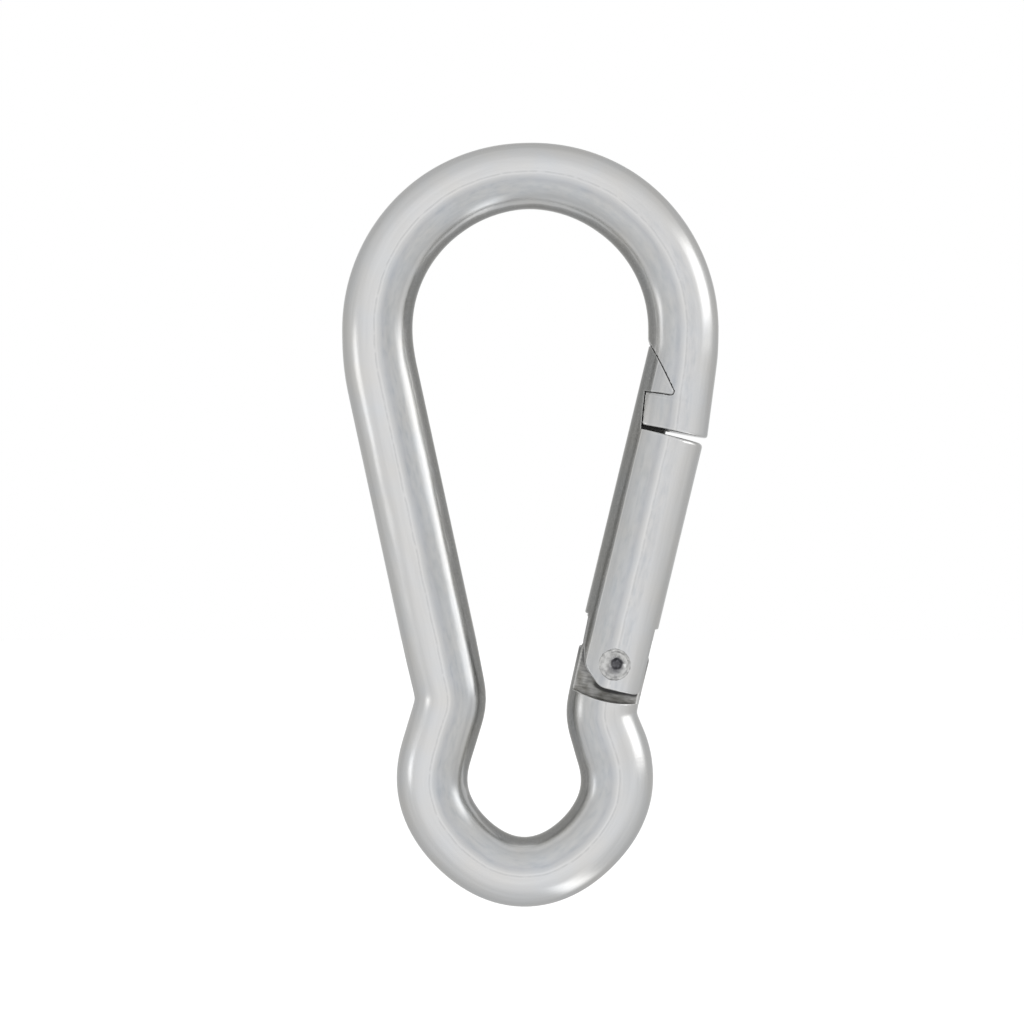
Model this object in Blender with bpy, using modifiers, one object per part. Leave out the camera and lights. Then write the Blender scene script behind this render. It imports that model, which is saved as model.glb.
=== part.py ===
"""Spring snap hook: one bent round bar with a wide bow, a small eye and a sprung gate.

Units are metres. +Z runs up the hook towards the bow, +X towards the gate, and the front
faces -Y. The origin is the centre of the hook's box, and the bar's centreline lies in y = 0.
"""

import math

import bmesh
import bpy
from mathutils import Matrix, Vector

MM = 0.001
CLEARANCE = 0.3 * MM  # between pieces that move past each other

# Bar: centreline, as circles and corners in the XZ plane
BOW_CENTRE = (0.0 * MM, 30.7 * MM)
BOW_RADIUS = 24.05 * MM
BOW_SHOULDER = 54.0  # degrees up from the bow's sides to where the bar starts to thin
LEG_TILT = 11.98  # degrees that the straight leg leans in towards the eye
LEG_BLEND_RADIUS = 38.0 * MM
NOSE_CORNER = (24.0 * MM, 27.0 * MM)
NOSE_TIP = (22.2 * MM, 13.4 * MM)
NOSE_BEND_RADIUS = 12.0 * MM
LEG_CORNER = (-12.31 * MM, -27.6 * MM)
EYE_CENTRE = (-0.91 * MM, -40.03 * MM)
EYE_RADIUS = 14.55 * MM
EYE_FLATTENING = 0.036  # share that the eye pulls in between its sides and its bottom
EYE_START = 166.0  # degrees round the eye where the leg's bend runs into it
EYE_END = 380.0
LUG_CORNER = (10.92 * MM, -29.84 * MM)
LEG_BEND_RUN = 0.12  # share of the straight leg over which the bar thins towards its bend
TIGHT_BEND_RADIUS = 6.3 * MM

# Bar: its radius, thinnest where the bow was stretched
NOSE_BAR = 5.5 * MM
BOW_SIDE_BAR = 5.53 * MM
BOW_SHOULDER_BAR = 5.46 * MM
CROWN_BAR = 5.2 * MM
LEG_BAR = 5.75 * MM
LEG_BEND_BAR = 5.62 * MM
EYE_SIDE_BAR = 5.6 * MM
EYE_BAR = 5.48 * MM
EYE_SHOULDER_BAR = 5.8 * MM
LUG_BEND_BAR = 5.55 * MM
LUG_BAR = 5.66 * MM
BAR_SIDES_SETTING = 12  # bevel resolution of the swept bar: 28 sides

# Gate hinge: the gate frame has its origin on the rivet and its height along the gate
PIVOT = (13.09 * MM, -21.79 * MM)
GATE_TILT = 13.55  # degrees that the gate's top leans outwards
BAR_AXIS = -0.36 * MM  # the gate's and the lug's own axis runs this far inside the rivet
HOLE_RADIUS = 1.85 * MM
RIVET_RADIUS = 1.75 * MM

# Lug: the bar's end, milled to a tongue whose top is a cam
LUG_HALF = 2.0 * MM
SHELF_LOW = -5.9 * MM
SHELF_RADIUS = 20.0 * MM
SHELF_SPREAD = 25.0  # degrees of the milling cutter's path on each side of the lug
CAM_LOW = 4.3 * MM
CAM_RISE = 1.82 * MM  # per radian
CAM_HIGH = 5.75 * MM
CAM_ENDS = (-20.0, 74.0)
LUG_SHOULDER = 1.2 * MM

# Gate
GATE_RADIUS = 5.9 * MM
GATE_BOTTOM = -3.95 * MM
GATE_TOP = 36.72 * MM
FORK_HALF = LUG_HALF + CLEARANCE
FORK_TOP = 6.7 * MM
HEEL = [(-5.62 * MM, FORK_TOP), (-5.4 * MM, 1.9 * MM), (-4.45 * MM, -1.35 * MM)]
HEEL_END = (-1.5 * MM, GATE_BOTTOM)
HEEL_ROUND = 2.4 * MM
TOE_ROUND = 1.4 * MM
TOP_ROUND = 0.8 * MM
BORE_RADIUS = 2.2 * MM
BORE_TOP = 27.3 * MM
RIVET_HEAD = 2.4 * MM
SEAT_RADIUS = 2.55 * MM
SEAT_FLOOR = 4.9 * MM  # from the mid-plane
SEAT_CONE_FOOT = 4.1 * MM

# Latch: a tooth at the gate's top, held behind the nose's claw
STRIP_ANGLE = 7.1  # degrees from the gate's height to the strip's face, seen from the rivet
TOOTH_REACH = 42.9 * MM  # from the rivet to the tooth's lower face
TOOTH_TIP = -0.45 * MM
TOOTH_TIP_ROUND = 0.5 * MM
TOOTH_TOP = (-5.75 * MM, 49.4 * MM)
NOSE_END_LEFT = (-4.5 * MM, 37.27 * MM)
NOSE_END_RIGHT = (5.7 * MM, 37.7 * MM)
RIB_HALF = 1.2 * MM
RIB_START = -5.4 * MM
RIB_END = -0.6 * MM
RIB_TOP = 38.3 * MM

# Plunger and spring, both in the gate's bore
PLUNGER_RADIUS = 1.95 * MM
PLUNGER_TIP = 4.9 * MM
PLUNGER_SHOULDER = 11.5 * MM
STEM_RADIUS = 0.95 * MM
STEM_TOP = 14.0 * MM
SPRING_RADIUS = 1.6 * MM
SPRING_WIRE = 0.28 * MM
SPRING_BOTTOM = 11.9 * MM
SPRING_TOP = 26.9 * MM
SPRING_TURNS = 11
SPRING_POINTS_A_TURN = 12

FAR = 20.0 * MM  # a length that reaches past the whole bar
WIDE = 8.0 * MM  # from the rivet past either side of the gate
OVERSHOOT = 2.0 * MM  # how far a cutter runs past the face that it opens


def clear_scene():
    for old in list(bpy.data.objects):
        bpy.data.objects.remove(old, do_unlink=True)


def new_collection(name):
    made = bpy.data.collections.new(name)
    bpy.context.scene.collection.children.link(made)
    return made


def metal(name, colour, roughness):
    material = bpy.data.materials.new(name)
    material.use_nodes = True
    shader = material.node_tree.nodes["Principled BSDF"]
    shader.inputs["Base Color"].default_value = (*colour, 1.0)
    shader.inputs["Metallic"].default_value = 1.0
    shader.inputs["Roughness"].default_value = roughness
    return material


# ---------------------------------------------------------------- frames and outlines


def gate_frame():
    """World placement of the gate frame: X across the gate, Y to the back, Z along the gate."""
    place = Matrix.Translation((PIVOT[0], 0.0, PIVOT[1]))
    return place @ Matrix.Rotation(math.radians(GATE_TILT), 4, "Y")


def bar_frame():
    """The gate frame moved onto the axis that the gate's and the lug's round bar share."""
    return gate_frame() @ Matrix.Translation((BAR_AXIS, 0.0, 0.0))


def arc(centre, radius, start, end, step):
    """Points on a circle from start to end, in degrees, about step degrees apart."""
    count = max(2, round(abs(end - start) / step))
    angles = [math.radians(start + (end - start) * i / count) for i in range(count + 1)]
    return [(centre[0] + radius * math.cos(a), centre[1] + radius * math.sin(a)) for a in angles]


def rounded(corner, before, after, radius, step=6.0):
    """The arc that rounds a corner between two straight runs."""
    corner = Vector(corner)
    towards_before = (Vector(before) - corner).normalized()
    towards_after = (Vector(after) - corner).normalized()
    half = towards_before.angle(towards_after) / 2
    centre = corner + (towards_before + towards_after).normalized() * (radius / math.sin(half))
    first = corner + towards_before * (radius / math.tan(half)) - centre
    last = corner + towards_after * (radius / math.tan(half)) - centre
    start = math.degrees(math.atan2(first.y, first.x))
    turn = math.degrees(math.atan2(last.y, last.x)) - start
    turn = (turn + 180) % 360 - 180
    return arc(centre, radius, start, start + turn, step)


def box_outline(left, right, low, high):
    return [(left, low), (right, low), (right, high), (left, high)]


def round_the_rivet(radius, across):
    """A point of the gate frame at a distance from the rivet and a place across the gate."""
    return (across, math.sqrt(radius * radius - across * across))


# ---------------------------------------------------------------- solids


def link_mesh(name, mesh, collection, place):
    made = bpy.data.objects.new(name, mesh)
    made.matrix_world = place
    collection.objects.link(made)
    return made


def curve_to_mesh(curve_object):
    """Turns a curve object into a mesh object of the same name, with its caps welded on."""
    bpy.context.view_layer.update()
    evaluated = curve_object.evaluated_get(bpy.context.evaluated_depsgraph_get())
    mesh = bpy.data.meshes.new_from_object(evaluated)
    name = curve_object.name
    place = curve_object.matrix_world.copy()
    collection = curve_object.users_collection[0]
    bpy.data.objects.remove(curve_object, do_unlink=True)
    welded = bmesh.new()
    welded.from_mesh(mesh)
    bmesh.ops.remove_doubles(welded, verts=welded.verts, dist=0.001 * MM)
    bmesh.ops.recalc_face_normals(welded, faces=welded.faces)
    welded.to_mesh(mesh)
    welded.free()
    return link_mesh(name, mesh, collection, place)


def plate(name, outline, low, high, collection, place):
    """A flat outline in the frame's XZ plane, made solid between two depths along Y."""
    curve = bpy.data.curves.new(name, "CURVE")
    curve.dimensions = "2D"
    curve.fill_mode = "BOTH"
    curve.extrude = (high - low) / 2
    spline = curve.splines.new("POLY")
    spline.points.add(len(outline) - 1)
    for point, (x, z) in zip(spline.points, outline):
        point.co = (x, z, 0.0, 1.0)
    spline.use_cyclic_u = True
    made = bpy.data.objects.new(name, curve)
    collection.objects.link(made)
    middle = Matrix.Translation((0.0, (low + high) / 2, 0.0))
    made.matrix_world = place @ middle @ Matrix.Rotation(math.radians(90), 4, "X")
    return curve_to_mesh(made)


def rod(name, low_radius, high_radius, length, sides, collection, place):
    """A cylinder or cone that stands on the frame's origin along its Z."""
    mesh = bpy.data.meshes.new(name)
    shape = bmesh.new()
    bmesh.ops.create_cone(
        shape,
        cap_ends=True,
        segments=sides,
        radius1=low_radius,
        radius2=high_radius,
        depth=length,
        matrix=Matrix.Translation((0.0, 0.0, length / 2)),
    )
    shape.to_mesh(mesh)
    shape.free()
    return link_mesh(name, mesh, collection, place)


def tube(name, points, depth, resolution, collection):
    """A swept round wire through (point, radius) pairs, as a curve object."""
    curve = bpy.data.curves.new(name, "CURVE")
    curve.dimensions = "3D"
    curve.bevel_depth = depth
    curve.bevel_resolution = resolution
    curve.use_fill_caps = True
    spline = curve.splines.new("POLY")
    spline.points.add(len(points) - 1)
    for point, (place, radius) in zip(spline.points, points):
        point.co = (*place, 1.0)
        point.radius = radius / depth
    made = bpy.data.objects.new(name, curve)
    collection.objects.link(made)
    return made


def turned(name, profile, sides, collection, place):
    """A profile of (radius, height) points, top to bottom, turned about the frame's Z."""
    mesh = bpy.data.meshes.new(name)
    points = [(radius, 0.0, height) for radius, height in profile]
    edges = [(i, i + 1) for i in range(len(points) - 1)]
    mesh.from_pydata(points, edges, [])
    made = link_mesh(name, mesh, collection, place)
    screw = made.modifiers.new("turn", "SCREW")
    screw.steps = sides
    screw.render_steps = sides
    screw.use_merge_vertices = True
    screw.merge_threshold = 0.001 * MM
    return made


def combine(target, tool, operation):
    change = target.modifiers.new(tool.name, "BOOLEAN")
    change.object = tool
    change.operation = operation
    change.solver = "EXACT"
    tool.hide_render = True
    tool.display_type = "WIRE"


def finish(target, material, sharp_degrees=35.0):
    target.data.materials.clear()
    target.data.materials.append(material)
    target.data.shade_smooth()
    target.data.set_sharp_from_angle(angle=math.radians(sharp_degrees))


# ---------------------------------------------------------------- hook body


def eye_arc(start, end, step=8.0):
    """Part of the eye's centreline, a circle whose lower flanks are slightly flattened."""
    count = round(abs(end - start) / step)
    points = []
    for i in range(count + 1):
        turn = math.radians(start + (end - start) * i / count)
        pull = EYE_FLATTENING * math.sin(2 * turn) ** 2 if math.sin(turn) < 0 else 0.0
        radius = EYE_RADIUS * (1 - pull)
        across = EYE_CENTRE[0] + radius * math.cos(turn)
        points.append((across, EYE_CENTRE[1] + radius * math.sin(turn)))
    return points


def bar_route():
    """The bar's centreline from the nose to the lug's top, as (point, bar radius) pairs."""
    lug_top = bar_frame() @ Vector((0.0, 0.0, FORK_TOP))
    blend_centre = (BOW_CENTRE[0] - BOW_RADIUS + LEG_BLEND_RADIUS, BOW_CENTRE[1])
    right_bow = arc(BOW_CENTRE, BOW_RADIUS, 0.0, BOW_SHOULDER, 6.0)
    right_crown = arc(BOW_CENTRE, BOW_RADIUS, BOW_SHOULDER, 90.0, 6.0)
    left_crown = arc(BOW_CENTRE, BOW_RADIUS, 90.0, 180.0 - BOW_SHOULDER, 6.0)
    left_bow = arc(BOW_CENTRE, BOW_RADIUS, 180.0 - BOW_SHOULDER, 180.0, 6.0)
    blend = arc(blend_centre, LEG_BLEND_RADIUS, 180.0, 180.0 + LEG_TILT, 4.0)
    left_eye = eye_arc(EYE_START, 225.0)
    bottom_eye = eye_arc(225.0, 315.0)
    right_eye = eye_arc(315.0, EYE_END)
    end = (lug_top.x, lug_top.z)
    leg_bend = rounded(LEG_CORNER, blend[-1], left_eye[0], TIGHT_BEND_RADIUS)
    lug_bend = rounded(LUG_CORNER, right_eye[-1], end, TIGHT_BEND_RADIUS)
    above_leg_bend = tuple(Vector(leg_bend[0]).lerp(Vector(blend[-1]), LEG_BEND_RUN))
    stretches = [
        ([NOSE_TIP], NOSE_BAR, NOSE_BAR),
        (rounded(NOSE_CORNER, NOSE_TIP, right_bow[0], NOSE_BEND_RADIUS, 4.0), NOSE_BAR, NOSE_BAR),
        (right_bow, BOW_SIDE_BAR, BOW_SHOULDER_BAR),
        (right_crown[1:], BOW_SHOULDER_BAR, CROWN_BAR),
        (left_crown[1:], CROWN_BAR, BOW_SHOULDER_BAR),
        (left_bow[1:], BOW_SHOULDER_BAR, BOW_SIDE_BAR),
        (blend[1:], BOW_SIDE_BAR, LEG_BAR),
        ([above_leg_bend], LEG_BAR, LEG_BAR),
        (leg_bend, LEG_BEND_BAR, LEG_BEND_BAR),
        (left_eye, EYE_SIDE_BAR, EYE_BAR),
        (bottom_eye[1:], EYE_BAR, EYE_BAR),
        (right_eye[1:], EYE_BAR, EYE_SHOULDER_BAR),
        (lug_bend, LUG_BEND_BAR, LUG_BEND_BAR),
        ([end], LUG_BAR, LUG_BAR),
    ]
    route = []
    for points, first, last in stretches:
        for i, (x, z) in enumerate(points):
            share = i / max(1, len(points) - 1)
            route.append(((x, 0.0, z), first + (last - first) * share))
    return route


def cam_radius(degrees):
    """Distance from the rivet to the lug's top, at an angle from the gate's axis inwards."""
    return min(CAM_HIGH, CAM_LOW + CAM_RISE * math.radians(degrees))


def above_the_cam():
    """Outline of what is milled off above the lug's cam."""
    first, last = CAM_ENDS
    cam = []
    for i in range(17):
        degrees = last + (first - last) * i / 16
        turn = math.radians(degrees)
        radius = cam_radius(degrees)
        cam.append((-radius * math.sin(turn), radius * math.cos(turn)))
    top = FORK_TOP + OVERSHOOT
    return [(WIDE, top), (-WIDE, top), (-WIDE, cam[0][1]), *cam, (WIDE, LUG_SHOULDER)]


def beside_the_lug():
    """Outline of what is milled off each side of the lug, down to a shelf left by the cutter."""
    centre = (BAR_AXIS, SHELF_LOW + SHELF_RADIUS)
    shelf = arc(centre, SHELF_RADIUS, 270.0 - SHELF_SPREAD, 270.0 + SHELF_SPREAD, 5.0)
    top = FORK_TOP + OVERSHOOT
    return [*shelf, (shelf[-1][0], top), (shelf[0][0], top)]


def strip_face(height, gap):
    """The point of the latch strip's radial face at a height, moved out by a gap."""
    return (-height * math.tan(math.radians(STRIP_ANGLE)) + gap, height)


def tooth_corner(gap):
    """Where the tooth's lower and upper faces meet, moved out from the gate by a gap."""
    corner = Vector(round_the_rivet(TOOTH_REACH, TOOTH_TIP))
    upwards = (Vector(TOOTH_TOP) - corner).normalized()
    outwards = Vector((upwards.y, -upwards.x))
    start = corner + outwards * gap
    reach = TOOTH_REACH - gap
    along = start.dot(upwards)
    travel = math.sqrt(along * along - start.length_squared + reach * reach) - along
    return start + upwards * travel, upwards


def tooth_outline(gap):
    """The tooth's lower face, rounded tip and upper face, moved out from the gate by a gap."""
    reach = TOOTH_REACH - gap
    corner, upwards = tooth_corner(gap)
    root = round_the_rivet(reach, strip_face(reach, gap)[0])
    middle = round_the_rivet(reach, (root[0] + corner.x) / 2)
    above = tuple(corner + upwards * FAR / 2)
    tip = rounded(corner, middle, above, TOOTH_TIP_ROUND + gap, 20.0)
    return [root, middle, *tip, above]


def nose_notch():
    """Outline of the notch behind the nose's claw, open on the inner side and at the end."""
    low = strip_face(GATE_TOP - OVERSHOOT, CLEARANCE)
    return [(-FAR, low[1]), low, *tooth_outline(CLEARANCE), (-FAR, TOOTH_TOP[1] + OVERSHOOT)]


def below_the_nose():
    left = Vector(NOSE_END_LEFT)
    right = Vector(NOSE_END_RIGHT)
    slope = (right - left).normalized()
    far_left = left - slope * FAR
    far_right = right + slope * FAR
    low = GATE_TOP - FAR
    return [tuple(far_left), (far_left.x, low), (far_right.x, low), tuple(far_right)]


def make_hook_body(parts, cutters, steel):
    body = curve_to_mesh(tube("hook_body", bar_route(), LEG_BAR, BAR_SIDES_SETTING, parts))
    frame = gate_frame()
    across = frame @ Matrix.Rotation(math.radians(-90), 4, "X") @ Matrix.Translation((0, 0, -FAR))
    slot = box_outline(-FAR, RIB_END + CLEARANCE, GATE_TOP, RIB_TOP + CLEARANCE)
    slot_half = RIB_HALF + CLEARANCE
    tools = [
        plate("lug_front", beside_the_lug(), -FAR, -LUG_HALF, cutters, frame),
        plate("lug_back", beside_the_lug(), LUG_HALF, FAR, cutters, frame),
        plate("lug_cam", above_the_cam(), -FAR, FAR, cutters, frame),
        rod("lug_hole", HOLE_RADIUS, HOLE_RADIUS, 2 * FAR, 48, cutters, across),
        plate("nose_end", below_the_nose(), -FAR, FAR, cutters, frame),
        plate("nose_notch", nose_notch(), -FAR, FAR, cutters, frame),
        plate("rib_slot", slot, -slot_half, slot_half, cutters, frame),
    ]
    for tool in tools:
        combine(body, tool, "DIFFERENCE")
    finish(body, steel)
    return body


# ---------------------------------------------------------------- gate


def gate_outline():
    """The gate's front outline: fork end, sides, top face, strip and tooth."""
    beyond = 2 * GATE_RADIUS
    right = BAR_AXIS + GATE_RADIUS
    cheek = BAR_AXIS + math.sqrt(GATE_RADIUS**2 - FORK_HALF**2)
    outline = [(-beyond, FORK_TOP), *HEEL[:-1]]
    outline += rounded(HEEL[-1], HEEL[-2], HEEL_END, HEEL_ROUND, 15.0)
    outline += rounded(HEEL_END, HEEL[-1], (cheek, GATE_BOTTOM), HEEL_ROUND, 15.0)
    outline += rounded((cheek, GATE_BOTTOM), HEEL_END, (cheek, FORK_TOP), TOE_ROUND, 15.0)
    outline += [(cheek, FORK_TOP), (beyond, FORK_TOP), (beyond, GATE_TOP - TOP_ROUND)]
    outline += rounded((right, GATE_TOP), (right, 0.0), (0.0, GATE_TOP), TOP_ROUND, 15.0)
    outline += [strip_face(GATE_TOP, 0.0), *tooth_outline(0.0), (-beyond, TOOTH_TOP[1] + OVERSHOOT)]
    return outline


def cut_rivet_seat(gate, side, turn, cutters):
    """The hole, countersink and counterbore for the rivet in one cheek of the fork."""
    hole = RIVET_RADIUS + CLEARANCE / 2
    outside = GATE_RADIUS + OVERSHOOT
    inside = FORK_HALF / 2
    profile = [(0.0, outside), (SEAT_RADIUS, outside), (SEAT_RADIUS, SEAT_FLOOR)]
    profile += [(hole, SEAT_CONE_FOOT), (hole, inside), (0.0, inside)]
    facing = gate_frame() @ Matrix.Rotation(math.radians(turn), 4, "X")
    combine(gate, turned(f"rivet_seat_{side}", profile, 48, cutters, facing), "DIFFERENCE")


def make_gate(parts, cutters, steel):
    frame = gate_frame()
    low = GATE_BOTTOM - OVERSHOOT
    gate = rod("gate", GATE_RADIUS, GATE_RADIUS, TOOTH_TOP[1] - low, 56, parts, frame)
    gate.data.transform(Matrix.Translation((BAR_AXIS, 0.0, low)))
    rib = box_outline(RIB_START, RIB_END, GATE_TOP - OVERSHOOT, RIB_TOP)
    slot = box_outline(-WIDE, WIDE, -WIDE, FORK_TOP)
    bore_foot = bar_frame() @ Matrix.Translation((0.0, 0.0, FORK_TOP - OVERSHOOT))
    bore_length = BORE_TOP - FORK_TOP + OVERSHOOT
    bore = rod("spring_bore", BORE_RADIUS, BORE_RADIUS, bore_length, 32, cutters, bore_foot)
    outline = gate_outline()
    combine(gate, plate("gate_outline", outline, -FAR, FAR, cutters, frame), "INTERSECT")
    combine(gate, plate("gate_rib", rib, -RIB_HALF, RIB_HALF, cutters, frame), "UNION")
    combine(gate, plate("fork_slot", slot, -FORK_HALF, FORK_HALF, cutters, frame), "DIFFERENCE")
    combine(gate, bore, "DIFFERENCE")
    cut_rivet_seat(gate, "front", 90, cutters)
    cut_rivet_seat(gate, "back", -90, cutters)
    finish(gate, steel)
    return gate


# ---------------------------------------------------------------- rivet, plunger, spring


def rivet_half_profile():
    """Half of the rivet, from the dimple in its flared end to the middle of its shank."""
    rim = SEAT_FLOOR + 0.6 * MM
    return [
        (0.0, rim - 0.85 * MM),
        (0.65 * MM, rim - 0.75 * MM),
        (0.95 * MM, rim - 0.3 * MM),
        (1.25 * MM, rim),
        (1.6 * MM, rim),
        (2.1 * MM, rim - 0.2 * MM),
        (RIVET_HEAD, rim - 0.45 * MM),
        (RIVET_HEAD, SEAT_FLOOR),
        (RIVET_RADIUS, SEAT_CONE_FOOT),
    ]


def make_hinge_rivet(parts, steel):
    upper = rivet_half_profile()
    lower = [(radius, -height) for radius, height in reversed(upper)]
    place = gate_frame() @ Matrix.Rotation(math.radians(90), 4, "X")
    rivet = turned("hinge_rivet", upper + lower, 40, parts, place)
    finish(rivet, steel)
    return rivet


def make_plunger(parts, steel):
    dome = arc((0.0, PLUNGER_TIP + PLUNGER_RADIUS), PLUNGER_RADIUS, 0.0, -90.0, 15.0)
    shaft = [(0.0, STEM_TOP), (STEM_RADIUS, STEM_TOP), (STEM_RADIUS, PLUNGER_SHOULDER)]
    profile = shaft + [(PLUNGER_RADIUS, PLUNGER_SHOULDER), *dome[:-1], (0.0, PLUNGER_TIP)]
    plunger = turned("plunger", profile, 32, parts, bar_frame())
    finish(plunger, steel)
    return plunger


def make_gate_spring(parts, steel):
    """A compression coil whose first and last turns close up."""
    count = SPRING_TURNS * SPRING_POINTS_A_TURN
    closed_pitch = 2.6 * SPRING_WIRE
    low = SPRING_BOTTOM + SPRING_WIRE
    high = SPRING_TOP - SPRING_WIRE
    open_pitch = (high - low - 2 * closed_pitch) / (SPRING_TURNS - 2)
    points = []
    for i in range(count + 1):
        turns = i / SPRING_POINTS_A_TURN
        middle = min(max(turns - 1, 0.0), SPRING_TURNS - 2)
        closed = min(turns, 1.0) + max(0.0, turns - (SPRING_TURNS - 1))
        angle = 2 * math.pi * turns
        height = low + closed * closed_pitch + middle * open_pitch
        place = (SPRING_RADIUS * math.cos(angle), SPRING_RADIUS * math.sin(angle), height)
        points.append((place, SPRING_WIRE))
    spring = tube("gate_spring", points, SPRING_WIRE, 2, parts)
    spring.matrix_world = bar_frame()
    spring.data.materials.append(steel)
    return spring


def main():
    clear_scene()
    parts = new_collection("spring_snap_hook")
    cutters = new_collection("cutters")
    plated = metal("bright_plated_steel", (0.74, 0.75, 0.76), 0.28)
    rivet_steel = metal("rivet_steel", (0.66, 0.66, 0.66), 0.35)
    pin_steel = metal("hardened_pin_steel", (0.45, 0.45, 0.47), 0.3)
    spring_steel = metal("spring_steel", (0.35, 0.35, 0.37), 0.35)
    make_hook_body(parts, cutters, plated)
    make_gate(parts, cutters, plated)
    make_hinge_rivet(parts, rivet_steel)
    make_plunger(parts, pin_steel)
    make_gate_spring(parts, spring_steel)


main()
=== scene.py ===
"""Looks of the spring snap hook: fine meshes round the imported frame, plated steel, a white studio.

The hook's body and gate are worked out as distance fields: a field is below zero inside the steel,
and a rounded difference gives every cut edge its small radius. Points are in the gate's own frame,
in millimetres: X across the gate, Y to the back, Z along the gate, with the origin on the rivet.
"""

import math

import bmesh
import bpy
import numpy as np
from mathutils import Matrix, Vector


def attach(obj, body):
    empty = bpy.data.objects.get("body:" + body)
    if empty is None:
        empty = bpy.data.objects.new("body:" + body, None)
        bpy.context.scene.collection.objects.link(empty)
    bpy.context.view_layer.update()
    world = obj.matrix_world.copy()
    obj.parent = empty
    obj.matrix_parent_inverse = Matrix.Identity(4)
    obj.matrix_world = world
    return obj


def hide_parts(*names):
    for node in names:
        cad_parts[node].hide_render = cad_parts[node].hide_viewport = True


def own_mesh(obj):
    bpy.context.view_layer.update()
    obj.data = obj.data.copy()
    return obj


MM = 0.001
CLEARANCE = 0.3

# The gate's frame in the hook's frame
PIVOT = (13.09, -21.79)
GATE_TILT = 13.55  # degrees
BAR_AXIS = -0.36  # the round bar's axis runs this far inside the rivet

# The bar's centreline, as circles and corners in the hook's XZ plane
BOW_CENTRE = (0.0, 30.7)
BOW_RADIUS = 24.05
BOW_SHOULDER = 54.0
LEG_TILT = 11.98
LEG_BLEND_RADIUS = 38.0
NOSE_CORNER = (24.0, 27.0)
NOSE_TIP = (22.2, 13.4)
NOSE_BEND_RADIUS = 12.0
LEG_CORNER = (-12.31, -27.6)
LEG_BEND_RUN = 0.12
EYE_CENTRE = (-0.91, -40.03)
EYE_RADIUS = 14.55
EYE_FLATTENING = 0.036
EYE_START = 166.0
EYE_END = 380.0
LUG_CORNER = (10.92, -29.84)
TIGHT_BEND_RADIUS = 6.3

# The bar's radius along it
NOSE_BAR = 5.5
BOW_SIDE_BAR = 5.53
BOW_SHOULDER_BAR = 5.46
CROWN_BAR = 5.2
LEG_BAR = 5.75
LEG_BEND_BAR = 5.62
EYE_SIDE_BAR = 5.6
EYE_BAR = 5.48
EYE_SHOULDER_BAR = 5.8
LUG_BEND_BAR = 5.55
LUG_BAR = 5.66

# Lug and hinge
HOLE_RADIUS = 1.85
RIVET_RADIUS = 1.75
LUG_HALF = 2.0
SHELF_LOW = -5.9
SHELF_RADIUS = 20.0
CAM_LOW = 4.3
CAM_RISE = 1.82  # per radian
CAM_HIGH = 5.75
CAM_ENDS = (-20.0, 74.0)
LUG_SHOULDER = 1.2

# Gate
GATE_RADIUS = 5.9
GATE_BOTTOM = -3.95
GATE_TOP = 36.72
FORK_HALF = LUG_HALF + CLEARANCE
FORK_TOP = 6.7
HEEL = [(-5.58, 6.1), (-5.4, 1.9), (-4.45, -1.35), (-1.5, GATE_BOTTOM)]
FORK_BENDS = [(4.8, 5.0), (2.4, 10.0), (2.4, 10.0), (1.4, 10.0)]  # radius, degrees a step
CHEEK_OUT = 0.14  # the fork is trimmed this far outside its slot's corners
BORE_RADIUS = 2.2
BORE_TOP = 27.3
SEAT_RADIUS = 2.42
SEAT_FLOOR = 4.9
SEAT_CONE_FOOT = 4.1

# Rivet head, punched a little off centre
RIVET_RIM = 2.43
RIM_HEIGHT = SEAT_FLOOR + 0.6
HEAD_PROFILE = [  # radius, height under the rim
    *((0.0, 1.0), (0.3, 0.96), (0.62, 0.76), (0.95, 0.42), (1.3, 0.2), (1.66, 0.03)),
    *((1.88, 0.05), (2.04, 0.13), (2.2, 0.05), (2.34, 0.05), (RIVET_RIM, 0.12)),
]
PUNCH_SHIFT = (0.34, 0.2)
PUNCH_REACH = 2.3
BLOWS = [(3, 0, 0.6, 0.05), (5, 4, 0.0, 0.035), (9, 0, 2.0, 0.02)]  # waves, spiral, phase, height

# Latch
STRIP_ANGLE = 7.1  # degrees
TOOTH_REACH = 42.9
TOOTH_TIP = -0.45
TOOTH_TIP_ROUND = 0.5
TOOTH_TOP = (-5.75, 49.4)
NOSE_END_LEFT = (-4.5, 37.27)
NOSE_END_RIGHT = (5.7, 37.7)
RIB_HALF = 1.2
RIB_START = -5.4
RIB_END = -0.6
RIB_TOP = 38.3
LATCH_GAP = 0.14
TOOTH_GAP = 0.07
RAGGED = 0.05  # waviness of the notch
CLAW_AXIS = -0.7  # the claw is filled out towards the gate's strip
CLAW_TOP = 42.2
CLAW_TAPER = 0.35
CLAW_BLEND = 0.4

# Plunger and spring
PLUNGER_RADIUS = 1.95
PLUNGER_TIP = 4.9
PLUNGER_SHOULDER = 11.5
STEM_RADIUS = 0.95
STEM_TOP = 14.0
PIN_CHAMFER = 0.2
SPRING_RADIUS = 1.6
SPRING_WIRE = 0.28
SPRING_BOTTOM = 11.9
SPRING_TOP = 26.9
SPRING_TURNS = 11

# Lengths that reach past the edge of what is cut
FAR = 20.0
WIDE = 8.0
OVERSHOOT = 2.0

# Edge radii
GATE_EDGE = 0.65
FORK_EDGE = 0.25
TOOTH_EDGE = 0.13
NOSE_EDGE = 0.45
CLAW_EDGE = 0.1
MILLED_EDGE = 0.22
CAM_EDGE = 0.3
RIB_EDGE = 0.25
SLOT_EDGE = 0.2
SMALL_EDGE = 0.15
SEAT_EDGE = 0.08

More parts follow.
